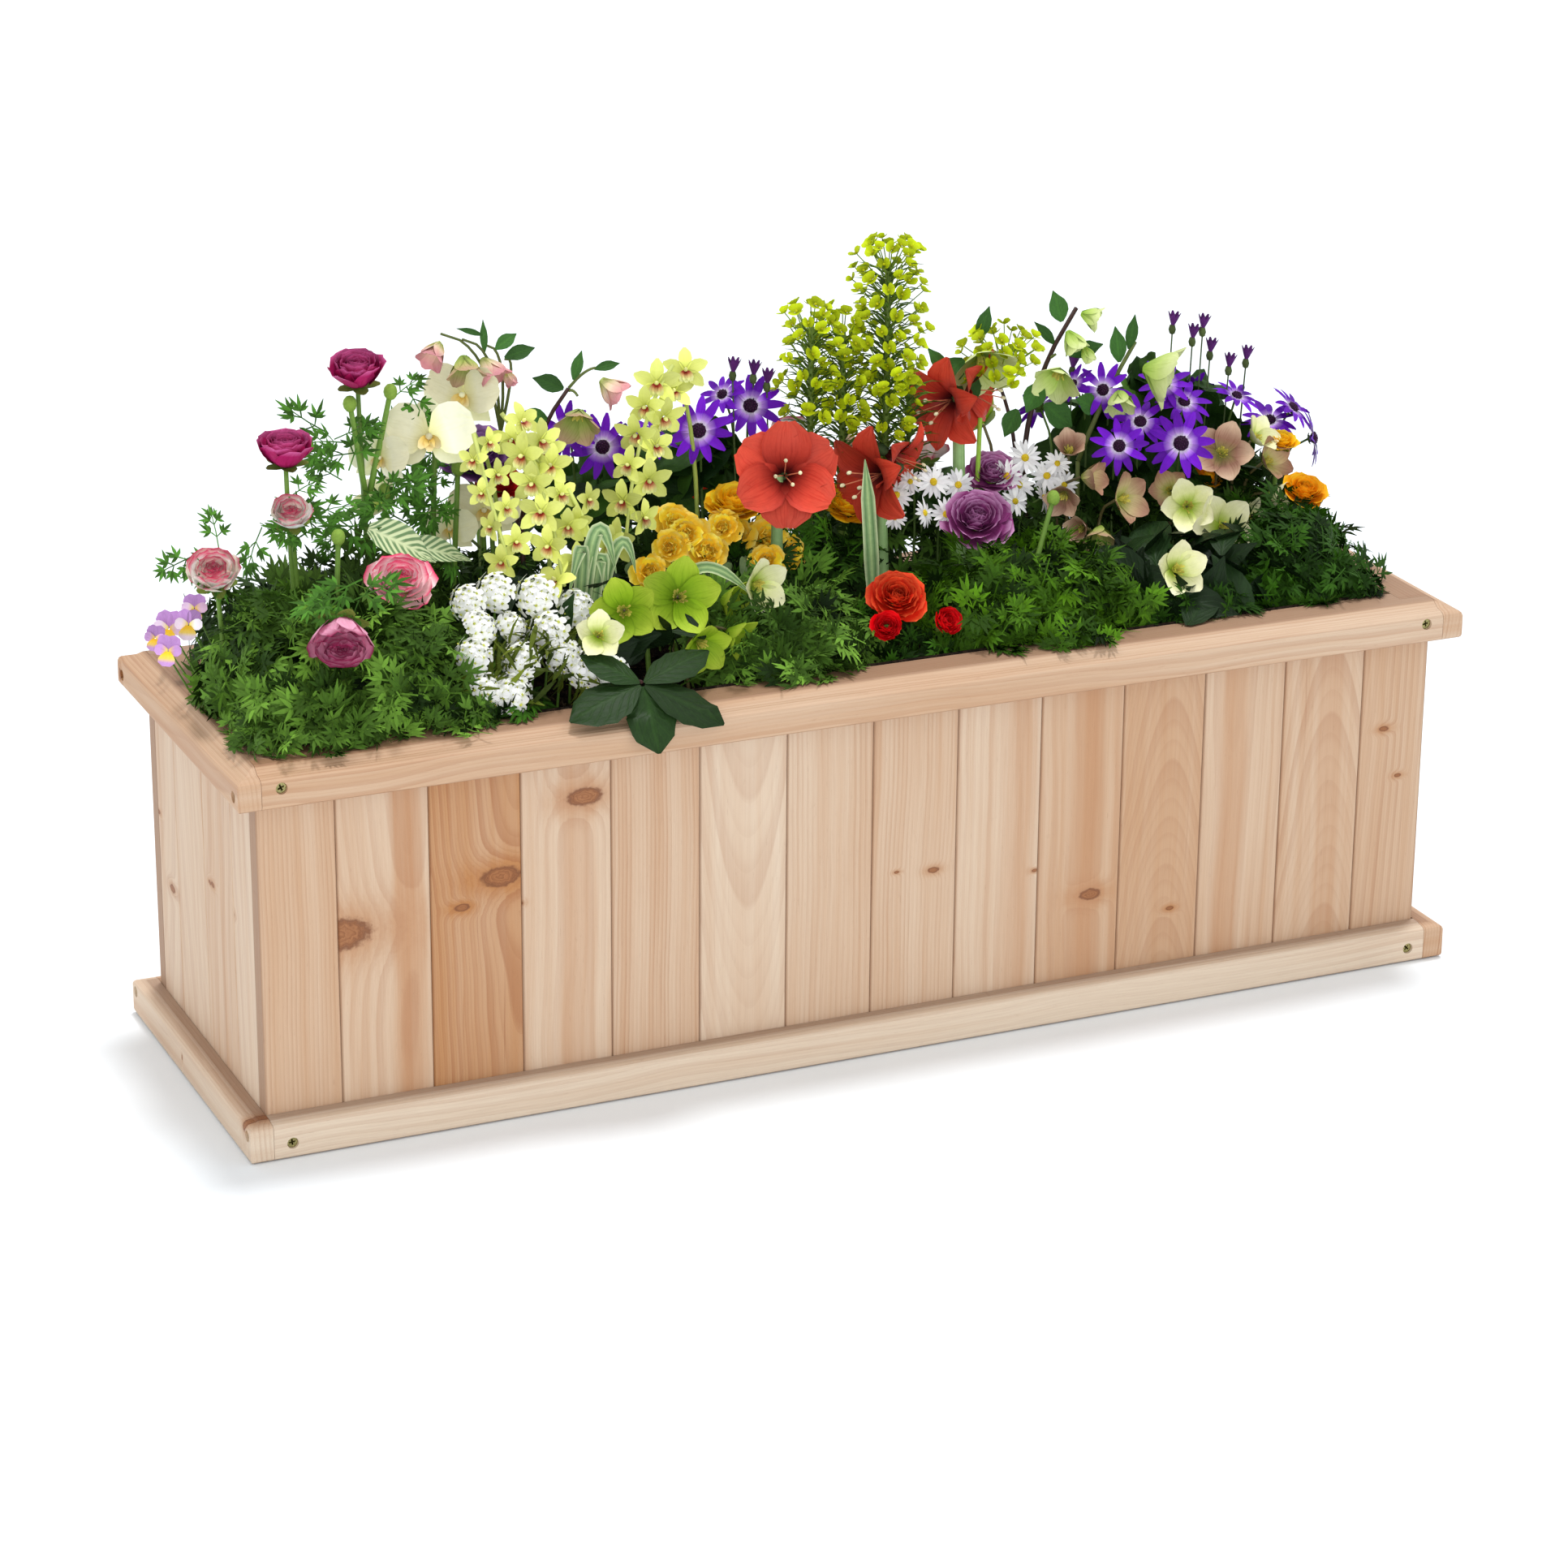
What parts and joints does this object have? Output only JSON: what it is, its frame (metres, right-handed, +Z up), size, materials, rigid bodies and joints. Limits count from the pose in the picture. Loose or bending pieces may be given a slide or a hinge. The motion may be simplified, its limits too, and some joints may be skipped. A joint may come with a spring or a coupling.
{
  "type": "garden planter box",
  "caption": "Long wooden planter box of upright tongue and groove boards with a moulded cap rail, a skirt rail at the foot and a mixed flower planting that lifts out.",
  "frame": {"origin": "middle of the footprint, on the ground", "axes": "+X along the length to the right seen from the front, +Y to the back, +Z up"},
  "size_m": [1.016, 0.306, 0.6103],
  "materials": {
    "wall_wood": "satin",
    "rail_wood": "satin",
    "inner_wood": "matte",
    "potting_mix": "matte",
    "foliage": "matte",
    "petals": "matte",
    "screw_zinc": "satin"
  },
  "bodies": {
    "box": {"front_board_01": "wall_wood", "front_board_02": "wall_wood", "front_board_03": "wall_wood", "front_board_04": "wall_wood", "front_board_05": "wall_wood", "front_board_06": "wall_wood", "front_board_07": "wall_wood", "front_board_08": "wall_wood", "front_board_09": "wall_wood", "front_board_10": "wall_wood", "front_board_11": "wall_wood", "front_board_12": "wall_wood", "front_board_13": "wall_wood", "front_board_14": "wall_wood", "back_board_01": "wall_wood", "back_board_02": "wall_wood", "back_board_03": "wall_wood", "back_board_04": "wall_wood", "back_board_05": "wall_wood", "back_board_06": "wall_wood", "back_board_07": "wall_wood", "back_board_08": "wall_wood", "back_board_09": "wall_wood", "back_board_10": "wall_wood", "back_board_11": "wall_wood", "back_board_12": "wall_wood", "back_board_13": "wall_wood", "back_board_14": "wall_wood", "left_end_board_01": "wall_wood", "left_end_board_02": "wall_wood", "left_end_board_03": "wall_wood", "left_end_board_04": "wall_wood", "right_end_board_01": "wall_wood", "right_end_board_02": "wall_wood", "right_end_board_03": "wall_wood", "right_end_board_04": "wall_wood", "cap_rail_front": "rail_wood", "cap_rail_back": "rail_wood", "cap_rail_left": "rail_wood", "cap_rail_right": "rail_wood", "skirt_rail_front": "rail_wood", "skirt_rail_back": "rail_wood", "skirt_rail_left": "rail_wood", "skirt_rail_right": "rail_wood", "corner_post_front_left": "inner_wood", "corner_post_front_right": "inner_wood", "corner_post_back_left": "inner_wood", "corner_post_back_right": "inner_wood", "floor_bearer_left": "inner_wood", "floor_bearer_middle": "inner_wood", "floor_bearer_right": "inner_wood", "floor_board_front": "inner_wood", "floor_board_middle": "inner_wood", "floor_board_back": "inner_wood"},
    "planting": {"potting_soil": "potting_mix", "planting_left": "foliage", "planting_middle": "foliage", "planting_right": "foliage"}
  },
  "joints": [
    {"name": "planting_lift", "type": "slide", "parent": "box", "child": "planting", "axis": [0, 0, 1], "range_m": [0, 0.3]}
  ]
}
